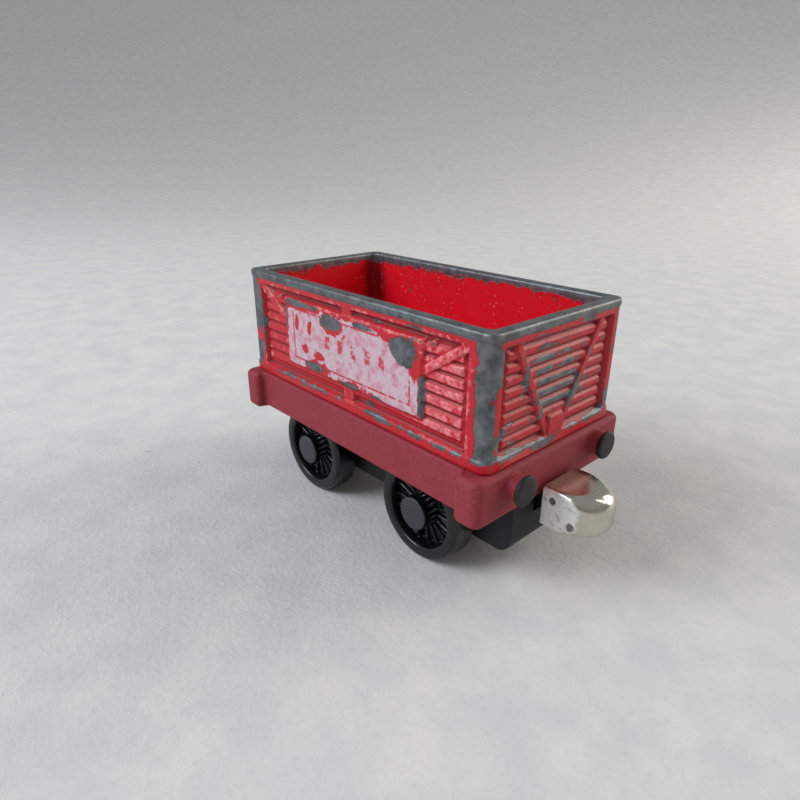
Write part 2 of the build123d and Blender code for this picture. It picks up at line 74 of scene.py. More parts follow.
# ---------------------------------------------------------------- floor
# A sheet of pale, slightly rough paper, far bigger than the wagon, that curves
# up into a wall all round.
class Signal:
    """A shader value.  + - * and ** on it, or on a number and it, add Math nodes."""

    def __init__(self, finish, socket):
        self.finish = finish
        self.socket = socket

    def maths(self, operation, *values):
        return self.finish.node("Math", {"operation": operation}, dict(enumerate(values)))

    def __add__(self, other):
        return self.maths("ADD", self, other)

    def __radd__(self, other):
        return self.maths("ADD", other, self)

    def __sub__(self, other):
        return self.maths("SUBTRACT", self, other)

    def __rsub__(self, other):
        return self.maths("SUBTRACT", other, self)

    def __mul__(self, other):
        return self.maths("MULTIPLY", self, other)

    def __rmul__(self, other):
        return self.maths("MULTIPLY", other, self)

    def __pow__(self, other):
        return self.maths("POWER", self, other)

    def __abs__(self):
        return self.maths("ABSOLUTE", self)

    def over(self, other):
        """The higher of the two."""
        return self.maths("MAXIMUM", self, other)

    def step(self, low, high):
        """0 below low, 1 above high, and a smooth rise between."""
        values = {"Value": self, "From Min": low, "From Max": high}
        return self.finish.node("MapRange", {"interpolation_type": "SMOOTHSTEP"}, values)


class Finish:
    """A material being made: node() adds any node, and blend() mixes two colours."""

    def __init__(self, name, **constants):
        self.material = bpy.data.materials.new(name)
        self.material.use_nodes = True
        self.tree = self.material.node_tree
        self.shader = self.tree.nodes["Principled BSDF"]
        for socket, value in constants.items():
            self.shader.inputs[socket.replace("_", " ")].default_value = value
        spot = self.node("TexCoord", {}, {}, "Object")
        in_mm = {0: spot, "Scale": 1 / MM}
        self.place = self.node("VectorMath", {"operation": "SCALE"}, in_mm, 0)

    def node(self, kind, settings, inputs, output=0):
        """Adds a node of that kind, sets it, feeds its sockets, and gives one output."""
        node = self.tree.nodes.new("ShaderNode" + kind)
        for name, value in settings.items():
            setattr(node, name, value)
        for name, value in inputs.items():
            self.feed(node.inputs[name], value)
        return Signal(self, node.outputs[output])

    def feed(self, socket, value):
        if isinstance(value, Signal):
            self.tree.links.new(value.socket, socket)
        else:
            socket.default_value = value

    def noise(self, size, detail=3.0, rough=0.55, shift=(0, 0, 0), stretch=(1, 1, 1), turn=(0, 0, 0)):
        """Noise in 0 to 1 with blotches about `size` millimetres across.  A low stretch
        draws them out along that axis of the turned pattern."""
        mapping = {"Vector": self.place, "Location": shift, "Rotation": turn, "Scale": stretch}
        where = self.node("Mapping", {}, mapping)
        values = {"Vector": where, "Scale": 1 / size, "Detail": detail, "Roughness": rough}
        return self.node("TexNoise", {}, values)

    def axis(self, name):
        """The place along one axis in millimetres."""
        return self.node("SeparateXYZ", {}, {0: self.place}, name)

    def blend(self, first, second, share):
        return self.node("Mix", {"data_type": "RGBA"}, {0: share, 6: first, 7: second}, 2)

    def bump(self, height, depth, after=None):
        """A Bump node: height is in 0 to 1, and depth is its size in millimetres."""
        inputs = {"Height": height, "Distance": depth * MM, "Strength": 1.0}
        if after is not None:
            inputs["Normal"] = after
        return self.node("Bump", {}, inputs)

    def finish(self, **links):
        """Feeds the shader's sockets and gives the material."""
        for socket, value in links.items():
            self.feed(self.shader.inputs[socket.replace("_", " ")], value)
        return self.material


def srgb(red, green, blue):
    """Linear colour of a screen colour given in 0 to 255."""
    share = np.array([red, green, blue]) / 255
    linear = np.where(share < 0.04045, share / 12.92, ((share + 0.055) / 1.055) ** 2.4)
    return (*linear, 1.0)


def mesh_piece(name, points, faces, material, values=None):
    """Smooth object of that name at the origin.  Points are rows of x, y, z in
    millimetres, and values holds arrays to keep as point attributes."""
    mesh = bpy.data.meshes.new(name)
    mesh.from_pydata(np.asarray(points, float) * MM, [], faces)
    for label, array in (values or {}).items():
        attribute = mesh.attributes.new(label, "FLOAT", "POINT")
        attribute.data.foreach_set("value", array.astype(np.float32).ravel())
    mesh.shade_smooth()
    mesh.materials.append(material)
    piece = bpy.data.objects.new(name, mesh)
    bpy.context.scene.collection.objects.link(piece)
    return piece


def floor_paper():
    """Pale paper with faint clouds, short fibres and a few dark specks."""
    paper = Finish("floor_paper", Specular_IOR_Level=0.2, Roughness=0.85)
    cloud = paper.noise(9, 5, 0.65)
    fibre = paper.noise(0.9, 4, 0.6)
    speck = paper.noise(2.2, 2, 0.5, (40, 9, 3)).step(0.79, 0.83)
    tone = paper.blend(srgb(204, 205, 206), srgb(217, 216, 212), cloud.step(0.3, 0.7))
    tone = paper.blend(tone, srgb(184, 184, 182), fibre.step(0.5, 0.8) * 0.3)
    colour = paper.blend(tone, srgb(120, 112, 100), speck * 0.6)
    return paper.finish(Base_Color=colour, Normal=paper.bump(fibre, 0.14))


def sweep_points(hub, flat, reach, wall, turns):
    """A profile turned about the vertical axis.  Along a radius, from the outside in: a
    quarter ellipse of that reach and wall height, then flat to the hub."""
    bend = np.linspace(0, math.pi / 2, 24)
    radius = np.concatenate([[hub, flat / 2], flat + reach * np.sin(bend)])[::-1]
    height = np.concatenate([[0, 0], wall * (1 - np.cos(bend))])[::-1]
    angle = np.linspace(0, 2 * math.pi, turns, endpoint=False)
    x, y = radius[:, None] * np.cos(angle), radius[:, None] * np.sin(angle)
    return np.stack([x, y, np.broadcast_to(height[:, None], x.shape)], -1)


def grid_faces(rows, columns, first=0):
    """Four corners of every cell of a grid whose columns run round a loop."""
    cells = first + np.arange(rows * columns).reshape(rows, columns)
    beside = np.roll(cells, -1, 1)
    return np.stack([cells[:-1], beside[:-1], beside[1:], cells[1:]], -1).reshape(-1, 4).tolist()


sweep = sweep_points(hub=1, flat=420, reach=1300, wall=900, turns=96)
corners = sweep.reshape(-1, 3)
hub_face = [list(range(len(corners) - sweep.shape[1], len(corners)))]
floor = mesh_piece("floor", corners, grid_faces(*sweep.shape[:2]) + hub_face, floor_paper())


# ---------------------------------------------------------------- light
# One large cool window to the camera's left, a warm fill far behind on the
# right, a cream wash on the wall behind, and an even pale surround.
def soft_light(name, place, aim, size, power, colour):
    """A square lamp at a place in metres, facing the aim."""
    lamp = bpy.data.lights.new(name, "AREA")
    lamp.shape, lamp.size, lamp.energy, lamp.color = "SQUARE", size, power, colour
    light = bpy.data.objects.new(name, lamp)
    bpy.context.scene.collection.objects.link(light)
    light.location = place
    light.rotation_euler = (Vector(aim) - Vector(place)).to_track_quat("-Z", "Y").to_euler()


COOL, WARM, CREAM, PALE_SKY = (0.88, 0.94, 1.0), (1.0, 0.93, 0.82), (1.0, 0.97, 0.92), (0.93, 0.95, 1.0)
soft_light("window", place=(-0.26, -0.54, 0.46), aim=(0, 0, 0.01), size=0.42, power=4.3, colour=COOL)
soft_light("fill", place=(0.42, 0.80, 0.45), aim=(0.16, 0.22, 0), size=0.6, power=5.0, colour=WARM)
soft_light("wash", place=(0.40, 0.45, 0.80), aim=(-0.10, 1.50, 0.20), size=0.5, power=3.0, colour=CREAM)
world = bpy.data.worlds.new("surround")
bpy.context.scene.world = world
world.use_nodes = True
surround = world.node_tree.nodes["Background"]
surround.inputs["Color"].default_value = (*PALE_SKY, 1.0)
surround.inputs["Strength"].default_value = 0.37
bpy.context.scene.view_settings.view_transform = "Standard"


# ---------------------------------------------------------------- tub
# One zinc casting, painted red: open box with a lip, corner posts, planked
# panels, braces and a name plate, all raised in the mould, much chipped.
def corners_of(node):
    """Lowest and highest corner of a part of the frame, as x, y, z in millimetres."""
    return [[round(value / MM, 2) for value in corner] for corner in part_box(node)]


FLANGE_PROUD, FLANGE_HEIGHT = 0.2, 1.6
LIP_PROUD, LIP_HEIGHT, RIM_ROUND = 0.15, 1.0, 0.35
tub_far, TUB_BASE = corners_of("tub")[1], corners_of("chassis")[1][2]
TUB_HALF_X, TUB_HALF_Y = tub_far[0] - FLANGE_PROUD, tub_far[1] - FLANGE_PROUD
TUB_HEIGHT = tub_far[2] - TUB_BASE
TUB_WALL, TUB_FLOOR, TUB_FILLET = 1.6, 1.6, 0.6
TUB_CORNER, TUB_INNER_CORNER, CORNER_STEPS = 1.3, 1.0, 8

# the recessed panels, by half width and by height over the tub's base
SIDE_PANEL, END_PANEL, PANEL_BOTTOM, PANEL_TOP, PANEL_DEPTH = 21.6, 11.0, 1.7, 14.7, 0.7
PLANK_RISE, PLANK_GAP, PLANK_MARGIN, SIDE_PITCH, END_PITCH = 0.4, 0.45, 0.8, 1.6, 1.5
BRACE_WIDTH, BRACE_RISE, STRAP_HALF, STRAP_RISE = 1.2, 0.6, 1.1, 0.6
PLATE_HALF, PLATE_BOTTOM, PLATE_TOP, PLATE_RISE = 14.7, 3.7, 13.95, 0.85
BLOCK_HALF, BLOCK_HEIGHT, BLOCK_RISE = 1.6, 2.4, 0.85
RIVET_RADIUS, RIVET_RISE, RIVET_HEIGHT, RIVETS = 0.42, 0.75, 13.65, (20.55, 16.15)


def ramp(distance, soft=0.34):
    """0 outside, 1 inside: 3q^2 - 2q^3, where q is the distance inwards over the soft width."""
    q = np.clip(distance / soft + 0.5, 0, 1)
    return q * q * (3 - 2 * q)


def bar(along, height, start, end, width):
    """1 on a straight bar between two points: the distance to the segment's line, and to
    its ends, each through ramp()."""
    (x0, z0), (x1, z1) = start, end
    length = math.hypot(x1 - x0, z1 - z0)
    run = ((along - x0) * (x1 - x0) + (height - z0) * (z1 - z0)) / length
    off = ((along - x0) * (z1 - z0) - (height - z0) * (x1 - x0)) / length
    return ramp(width / 2 - np.abs(off)) * ramp(run) * ramp(length - run)


def rectangle(along, height, half, bottom, top):
    """1 inside an upright rectangle that is centred on the wall."""
    return ramp(half - np.abs(along)) * ramp(height - bottom) * ramp(top - height)


def planks(along, height, pitch, half):
    """The planks' height: full on a plank and 0 in the gaps, by the distance to the nearest
    plank's middle, and 0 outside that half width."""
    count = int((PANEL_TOP - PANEL_BOTTOM - PLANK_GAP) / pitch)
    first = (PANEL_BOTTOM + PANEL_TOP) / 2 - (count - 1) / 2 * pitch
    row = np.clip(np.round((height - first) / pitch), 0, count - 1)
    far = np.abs(height - first - row * pitch)
    return PLANK_RISE * ramp((pitch - PLANK_GAP) / 2 - far, 0.4) * ramp(half - np.abs(along))


def side_relief(along, height):
    """Height of a long wall's surface in millimetres: minus the panel's depth inside the
    panel, plus the highest of planks, braces, strap, rivets and plate there."""
    boards = planks(along, height, SIDE_PITCH, SIDE_PANEL - PLANK_MARGIN)
    brace_top, brace_foot = (SIDE_PANEL + 1, PANEL_TOP + 0.67), (PLATE_HALF - 1, 9.4)
    brace = BRACE_RISE * bar(np.abs(along), height, brace_top, brace_foot, BRACE_WIDTH)
    strap = STRAP_RISE * ramp(STRAP_HALF - np.abs(along)) + 0 * height
    plate = PLATE_RISE * rectangle(along, height, PLATE_HALF, PLATE_BOTTOM, PLATE_TOP)
    raised = [boards, brace, strap, plate]
    for place in RIVETS:
        far = np.hypot(np.abs(along) - place, height - RIVET_HEIGHT)
        raised.append(RIVET_RISE * ramp(RIVET_RADIUS - far, 0.3))
    panel = rectangle(along, height, SIDE_PANEL, PANEL_BOTTOM, PANEL_TOP)
    return panel * (np.maximum.reduce(raised) - PANEL_DEPTH)


def end_relief(along, height):
    """The same for an end wall, with a V of two braces that meet on a block."""
    boards = planks(along, height, END_PITCH, END_PANEL - PLANK_MARGIN)
    brace_top, brace_foot = (8.6, PANEL_TOP), (1.3, PANEL_BOTTOM)
    brace = BRACE_RISE * bar(np.abs(along), height, brace_top, brace_foot, BRACE_WIDTH)
    block = BLOCK_RISE * ramp(BLOCK_HALF - np.abs(along)) * ramp(PANEL_BOTTOM + BLOCK_HEIGHT - height)
    panel = rectangle(along, height, END_PANEL, PANEL_BOTTOM, PANEL_TOP)
    return panel * (np.maximum.reduce([boards, brace, block]) - PANEL_DEPTH)


def tub_columns():
    """Where the columns stand: a share -1 to 1 of each wall's straight run, closer
    together on the planked bays, then steps round its corner, for four walls."""
    last = TUB_HALF_X - TUB_CORNER
    stretches = [(0, 1.5, 8), (1.5, 14.2, 37), (14.2, 21.9, 51), (21.9, last, 7)]
    half = [np.linspace(start, stop, steps, endpoint=False) for start, stop, steps in stretches]
    half = np.concatenate(half + [[last]]) / last
    side = np.concatenate([-half[:0:-1], half])
    end = np.linspace(-1, 1, 171)
    steps = np.linspace(0, 1, CORNER_STEPS + 2)[1:-1]
    share, turn, wall = [], [], []
    for number, run in enumerate((end, side, end, side)):
        share += [run, np.ones(CORNER_STEPS)]
        turn += [np.zeros(len(run)), steps]
        wall += [np.full(len(run) + CORNER_STEPS, number)]
    return np.concatenate(share), np.concatenate(turn), np.concatenate(wall)


share, turn, wall = tub_columns()
straight, side_wall, end_wall = turn == 0, wall % 2 == 1, wall % 2 == 0


def loop(half_x, half_y, radius):
    """Rounded rectangle at the tub's columns: each point is its wall's straight run times
    the share, or the corner's centre plus the radius along the turning direction."""
    heading = (wall + turn) * math.pi / 2
    nx, ny = np.cos(heading), np.sin(heading)
    out = np.where(end_wall, half_x, half_y)
    run = np.where(end_wall, half_y, half_x) - radius
    c, s = np.cos(wall * math.pi / 2), np.sin(wall * math.pi / 2)
    cx, cy = (out - radius) * c - share * run * s, (out - radius) * s + share * run * c
    return cx + radius * nx, cy + radius * ny, nx, ny


outer_x, outer_y, out_x, out_y = loop(TUB_HALF_X, TUB_HALF_Y, TUB_CORNER)
inner_x, inner_y, _, _ = loop(TUB_HALF_X - TUB_WALL, TUB_HALF_Y - TUB_WALL, TUB_INNER_CORNER)
along = np.where(side_wall, outer_x, outer_y)

# heights up the wall, close together where the bottom edge and the lip turn
LIP_START = TUB_HEIGHT - LIP_HEIGHT
rise = np.concatenate([[0.0, 0.06, 0.16, 0.3], np.linspace(0.5, LIP_START, 84),
                       LIP_START + np.array([0.15, 0.25, 0.35, 0.5, LIP_HEIGHT - RIM_ROUND])])
height = rise[:, None]
relief = np.where(side_wall & straight, side_relief(along, height), 0)
relief = relief + np.where(end_wall & straight, end_relief(along, height), 0)
flange = FLANGE_PROUD * ramp(FLANGE_HEIGHT - height, 0.25) - 0.22 * ramp(0.12 - height, 0.3)
lip = LIP_PROUD * ramp(height - LIP_START, 0.3)
offset = relief + flange + lip
around = sum(np.roll(relief, shift, axis) for shift in (3, -3) for axis in (0, 1)) / 4
convex = relief - around
wall_x, wall_y = outer_x + out_x * offset, outer_y + out_y * offset
spine = np.clip(outer_x, TUB_HALF_Y - TUB_HALF_X, TUB_HALF_X - TUB_HALF_Y)

# every row is x, y, height over the base and ridge, from the middle of the underside,
# up the wall, over the rim, down inside and to the middle of the floor
rows = []
for draw in (1.0, 0.6, 0.15):
    rows.append((wall_x[0] + (spine - wall_x[0]) * draw, wall_y[0] * (1 - draw), 0, 0))
first_wall = len(rows)
rows += list(zip(wall_x, wall_y, rise, convex))
past_wall = len(rows)
for angle in np.radians([22, 45, 68, 90]):
    drop, reach = RIM_ROUND * (1 - math.sin(angle)), LIP_PROUD - RIM_ROUND * (1 - math.cos(angle))
    rows.append((outer_x + out_x * reach, outer_y + out_y * reach, TUB_HEIGHT - drop, 0.3))
for angle in np.radians([90, 60, 30, 0]):
    drop, reach = RIM_ROUND * (1 - math.sin(angle)), RIM_ROUND * (1 - math.cos(angle))
    rows.append((inner_x + out_x * reach, inner_y + out_y * reach, TUB_HEIGHT - drop, 0.3))
past_rim = len(rows)
for level in (15.6, 14.6, 12.5, 9.0, 5.5, 2.6):
    rows.append((inner_x, inner_y, level, 0))
for angle in np.radians([0, 30, 60, 90]):
    reach, drop = TUB_FILLET * (1 - math.cos(angle)), TUB_FILLET * (1 - math.sin(angle))
    rows.append((inner_x - out_x * reach, inner_y - out_y * reach, TUB_FLOOR + drop, -0.3))
for draw in (0.3, 0.7, 1.0):
    rows.append((inner_x + (spine - inner_x) * draw, inner_y * (1 - draw), TUB_FLOOR, 0))

columns = len(share)
grid = np.array([[np.broadcast_to(value, columns) for value in row] for row in rows], float)
points = np.stack([grid[:, 0], grid[:, 1], grid[:, 2] + TUB_BASE], -1).reshape(-1, 3)


LINE_HALF_X, LINE_HALF_Z, LINE_Z = 12.6, 3.75, 27.3
SPOT_START, SPOT_HALF_PITCH, SPOT_Z, SPOT_FLATTEN = -1.3, 1.45, 27.6, 0.55
SPOT_ROW_X, SPOT_ROW_HALF = 1.5, 7.0


def worn_white(paint, white, grit):
    """Colour of the white coat, and where it still holds.  The coat has a thin red frame
    line and a row of plain red spots, both worn away in places."""
    across, up = paint.axis("X"), paint.axis("Z")
    frame_x, frame_z = abs(across) - LINE_HALF_X, abs(up - LINE_Z) - LINE_HALF_Z
    line = 1 - abs(frame_x.over(frame_z)).step(0.1, 0.22)
    to_spot = {0: across - SPOT_START, 1: SPOT_HALF_PITCH}
    spot_x = paint.node("Math", {"operation": "PINGPONG"}, to_spot)
    spot = 1 - spot_x.over(abs(up - SPOT_Z) * SPOT_FLATTEN).step(0.42, 0.6)
    spots = spot * (1 - abs(across - SPOT_ROW_X).step(SPOT_ROW_HALF, SPOT_ROW_HALF + 0.3))
    marks = line.over(spots) * paint.noise(0.9, 3, 0.6, (6, 2, 2)).step(0.36, 0.48)
    stain = paint.noise(1.1, 4, 0.65, (3, 3, 3)).step(0.44, 0.68)
    chalk = paint.blend(srgb(204, 176, 186), srgb(198, 124, 142), stain)
    chalk = paint.blend(chalk, srgb(190, 34, 54), marks * 0.9)
    faded = paint.noise(1.5, 4, 0.65, (1, 4, 9))
    held = white + (faded - 0.5) * 1.7 + (grit - 0.5) * 0.3
    return chalk, held.step(0.5, 0.57)


def tub_paint():
    """Red paint over zinc.  The mesh's wear, lowered or raised by noise, says where it's
    gone; white is a second coat on the name plates.  Where ridge is high the paint is pale, partly
    rubbed and partly a painted highlight; where low, painted shade darkens it; the inside is painted
    brighter as painted light."""
    paint = Finish("tub_paint", Specular_IOR_Level=0.5)
    labels = ("wear", "ridge", "white", "inside")
    wear, ridge, white, inside = (
        paint.node("Attribute", {"attribute_name": label}, {}, "Fac") for label in labels)
    blotch = paint.noise(2.6, 4, 0.6)
    fine = paint.noise(0.8, 3, 0.6, (5, 3, 1))
    grit = paint.noise(0.25, 2, 0.5, (2, 8, 4))

    # where the paint is gone: worn places, and nicks drawn out downwards on the inside
    near_rim = paint.axis("Z").step(24, 33)
    nick = paint.noise(0.7, 2, 0.5, (4, 4, 4), (1, 1, 0.3)).step(0.66, 0.7) * near_rim * inside
    gone = wear + (blotch - 0.5) * 1.0 + (fine - 0.5) * 0.55 + (grit - 0.5) * 0.15 + nick * 0.5
    bare = gone.step(0.5, 0.55)
    chip_edge = gone.step(0.40, 0.5) * (1 - bare)

    # red: painted light making the inside brighter, painted shade in hollows, pale on ridges partly from
    # rubbing and partly as a painted highlight, scratched inside
    red = paint.blend(srgb(204, 10, 36), srgb(176, 4, 22), paint.noise(5, 3, 0.5, (7, 7, 2)))
    # painted light: the whole inside gets a brighter, more saturated red
    red = paint.blend(red, srgb(222, 2, 28), inside * 0.7)
    # painted shade: hollows and creases, where ridge is low, are darkened
    painted_hollow_shade = 1 - ridge.step(-0.22, -0.02)
    red = paint.blend(red, srgb(96, 2, 12), painted_hollow_shade * 0.75)
    # partly rubbed paint, partly painted highlight: ridges and plank tops turn pale pink
    rubbed_and_highlight = (ridge + (fine - 0.5) * 0.7 + (blotch - 0.5) * 0.5).step(0.10, 0.34)
    pale_rub_and_highlight = paint.blend(srgb(230, 104, 114), srgb(246, 160, 162), fine.step(0.44, 0.7))
    red = paint.blend(red, pale_rub_and_highlight, rubbed_and_highlight * 0.8 * (1 - inside))
    streaks = paint.noise(1 / 2.2, 3, 0.5, stretch=(1, 0.1, 1), turn=(0.4, 0.5, 0.7))
    scratch = streaks.step(0.64, 0.69) * blotch.step(0.46, 0.56) * inside
    red = paint.blend(red, srgb(226, 120, 112), scratch * 0.85)

    chalk, cover = worn_white(paint, white, grit)
    painted = paint.blend(red, chalk, cover)
    painted = paint.blend(painted, srgb(104, 6, 18), chip_edge * 0.5)
    tarnish = paint.noise(1.6, 5, 0.65, (9, 1, 1)).step(0.3, 0.7)
    zinc = paint.blend(srgb(124, 128, 132), srgb(88, 90, 92), tarnish)
    zinc = paint.blend(zinc, srgb(186, 189, 192), grit.step(0.58, 0.74) * 0.15)
    coat = paint.bump((1 - bare) * (1 + 0.4 * cover), 0.06)
    return paint.finish(
        Base_Color=paint.blend(painted, zinc, bare), Metallic=bare * 0.82,
        Roughness=0.34 + 0.2 * fine + cover * 0.2 - inside * 0.02 + bare * 0.04,
        Normal=paint.bump(fine * 0.55 + grit * 0.45, 0.03, coat))


def patches(along, height, spots):
    """Highest of several soft ovals on a wall, each (along, height, half width, half
    height, strength): strength times 1 at the middle, 0.5 on the edge and 0 well outside."""
    field = np.zeros(height.shape)
    for spot_along, spot_height, half_along, half_height, strength in spots:
        far = np.hypot((along - spot_along) / half_along, (height - spot_height) / half_height)
        field = np.maximum(field, strength * ramp(1 - far, 1.4))
    return field


# how worn each grid point is: rim, posts and ridges most, grooves least
z, ridge = grid[:, 2], grid[:, 3]
number = np.arange(len(rows))[:, None]
outside = (number >= first_wall) & (number < past_wall)
lining = number >= past_rim - 2
to_corner = np.where(side_wall, TUB_HALF_X - np.abs(outer_x), TUB_HALF_Y - np.abs(outer_y))
to_corner = np.where(straight, to_corner, 0)
post = ramp(np.where(side_wall, 2.1, 1.35) - to_corner, 1.8) * ramp(z - 1.6, 1.4)
post = post * np.where((wall == 0) & (along > 10), 0.7, 1)
chafe = np.where(end_wall, 1.5, 0.9) * np.clip(ridge, 0, 0.4)
wear = np.where(outside, 0.16 + 0.60 * post + chafe, 0.12)
crest = np.zeros(z.shape)
crest[first_wall:past_wall] = ramp(relief + 0.42, 0.16) * (relief < -0.02)
centre = ramp(5.5 - np.abs(along), 5) * ramp(z - 4.5, 3) * ramp(13.6 - z, 2)
wear = wear + end_wall * crest * (0.06 + 0.24 * centre)
wear += outside * 0.22 * ramp(1.9 - z, 0.6) * ramp(z - 0.6, 0.5)
wear = np.maximum(wear, 1.15 * ramp(z - 15.6, 0.9) * (number < past_rim))
wear = np.where(lining, 0.13 + 0.16 * ramp(z - 12.5, 4) + 0.65 * ramp(z - 15.7, 1.4), wear)

# inner corners get the hollows' painted shade, and the right side's front bay the palest ridges, partly
# rubbed and partly painted highlight
inner_corner = ramp(2.6 - to_corner, 5.5) * ramp(16 - z, 4) * ramp(z - 2.8, 2)
ridge = np.where(lining, -0.3 * inner_corner, ridge)
# painted highlight, with some rubbing: the front bay's plank tops are raised in ridge so they turn pale
front_bay = outside & (wall == 3) & (along > 14)
calmer = ridge * np.where(end_wall & (ridge > 0), 0.55, 1)
ridge = np.where(front_bay, ridge * 1.2 + 0.18 * crest, calmer)

BARE = {  # wall number: patches of bare zinc; 0 is the front, 1 left, 2 rear, 3 right
    3: [(-10.8, 13.4, 4.4, 0.55, 1.1), (-3.4, 12.2, 2.6, 1.2, 1.1), (-24.0, 9.0, 2.7, 7.5, 1.25),
        (-14.4, 11.2, 0.5, 2.6, 1), (3.4, 13.0, 2.2, 0.5, 1), (11.6, 11.7, 2.5, 1.9, 1.25),
        (14.5, 6.8, 0.5, 3.2, 1.1), (-7.6, 4.7, 2.6, 0.8, 1.1), (0.8, 4.0, 3.0, 0.5, 1),
        (6.4, 3.9, 1.6, 0.4, 0.9), (8.0, 1.2, 2.6, 0.5, 1), (13.5, 1.2, 2.2, 0.5, 1),
        (4.0, 2.3, 1.3, 0.6, 1), (18.0, 1.3, 1.6, 0.4, 1), (-15.5, 1.4, 1.8, 0.4, 0.9),
        (13.2, 15.0, 1.8, 0.4, 0.9), (6.0, 14.2, 1.6, 0.4, 0.9)],
    1: [(9.0, 12.6, 3.2, 1.2, 1), (-12.4, 6.0, 2.0, 2.6, 1), (2.0, 1.3, 3.0, 0.5, 1),
        (-16.5, 1.3, 2.0, 0.5, 1), (14.6, 9.0, 0.6, 4.0, 1)],
    0: [(-11.8, 12.0, 1.4, 3.6, 1), (-11.0, 4.0, 1.6, 1.2, 1), (-2.6, 0.9, 2.8, 0.6, 1.1),
        (-6.6, 10.4, 0.55, 2.6, 1.15), (-3.2, 4.6, 0.5, 1.2, 1), (4.2, 6.8, 0.5, 2.2, 1.1),
        (6.4, 10.8, 0.5, 1.2, 1), (12.3, 10.0, 1.1, 1.3, 1.1), (12.3, 3.4, 1.1, 1.8, 1.1),
        (-8.6, 5.2, 1.0, 0.4, 0.9), (-7.8, 2.4, 1.0, 0.4, 0.9), (5.0, 15.2, 3.0, 0.5, 0.9)],
    2: [(11.0, 10.5, 1.6, 3.4, 0.9), (2.0, 1.0, 3.0, 0.5, 1), (5.2, 9.0, 0.8, 2.6, 0.9),
        (-12.0, 5.0, 1.2, 2.4, 0.9)],
}
KEPT = [(-23.5, 6.4, 0.9, 1.0, 1.3), (12.2, 6.6, 1.4, 2.0, 1), (-11.6, 7.0, 1.3, 2.2, 0.8)]
for which, spots in BARE.items():
    chips = 0.72 * patches(along, z, spots)
    wear = np.maximum(wear, np.where((wall == which) & straight & outside, chips, 0))
wear = np.where(outside & straight & (z < 15), wear - 0.45 * patches(along, z, KEPT), wear)

# the white coat covers each name plate, and is thin in places
THIN = [(-11.7, 10.4, 0.6, 1.7, 0.6), (-9.8, 7.0, 1.0, 0.7, 0.65), (-8.4, 9.8, 0.5, 1.6, 0.6),
        (-6.2, 6.6, 1.1, 0.7, 0.65), (-10.5, 13.0, 4.0, 0.6, 0.7), (-3.2, 11.4, 2.8, 1.5, 0.6),
        (-7.0, 4.6, 3.2, 1.1, 0.8), (13.5, 11.5, 1.1, 2.8, 0.9), (2.0, 4.2, 4.0, 0.7, 0.5),
        (9.0, 13.0, 2.4, 0.8, 0.6)]
coated = ramp(PLATE_HALF - 0.5 - np.abs(along), 1.4)
coated = coated * ramp(z - PLATE_BOTTOM - 0.1, 1.2) * ramp(PLATE_TOP - 0.7 - z, 1.4)
white = np.where(side_wall & straight & outside, coated * (0.95 - patches(along, z, THIN)), 0)

inside = np.broadcast_to(lining * 1.0, z.shape)
tub = mesh_piece("tub_body", points, grid_faces(len(rows), columns), tub_paint(),
                 {"wear": wear, "ridge": ridge, "white": white, "inside": inside})


def close_up(piece):
    """Merges points that meet at seams and poles, then turns every face outwards."""
    shape = bmesh.new()
    shape.from_mesh(piece.data)
    bmesh.ops.remove_doubles(shape, verts=shape.verts, dist=1e-6)
    bmesh.ops.recalc_face_normals(shape, faces=shape.faces)
    shape.to_mesh(piece.data)
    shape.free()


close_up(tub)
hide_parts("tub")
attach(tub, "body")


# ---------------------------------------------------------------- chassis
# One dull dark red moulding: sole bars and headstocks round a deck, with soft
# edges, and a collar for each buffer.  Dust lies on it.
chassis_near, chassis_far = corners_of("chassis")
buffer_near, buffer_far = corners_of("buffer_front_left")
axle_near, axle_far = corners_of("front_axle")
BUFFER_Y, BUFFER_Z = (buffer_near[1] + buffer_far[1]) / 2, (buffer_near[2] + buffer_far[2]) / 2
AXLE_X, AXLE_Z = (axle_near[0] + axle_far[0]) / 2, (axle_near[2] + axle_far[2]) / 2
DECK_TOP, HEAD_HALF, KEEPER_FOOT = chassis_far[2], chassis_far[1], chassis_near[2]
COLLAR_DEPTH, DECK_UNDER, SOLE_HALF, SOLE_BOTTOM = 1.4, 17.3, 13.8, 12.65
HEAD_FACE, HEAD_BACK, HEAD_BOTTOM, HOLLOW_HALF = chassis_far[0] - COLLAR_DEPTH, 22.0, 12.25, 12.3
TOE_ROUND, HEEL_ROUND, SOLE_FILLET, SOLE_EASE = 1.4, 0.9, 0.6, 2.6
SOLE_ROUND, HEAD_EXTRA_ROUND = 0.3, 0.55
KEEPER_Y, KEEPER_HALF_X, KEEPER_HALF_Y = 6.35, 0.7, 0.65
SLEEVE_X, SLEEVE_BORE, SLEEVE_RADIUS, SLEEVE_FOOT = 19.6, 2.08, 3.2, 12.0


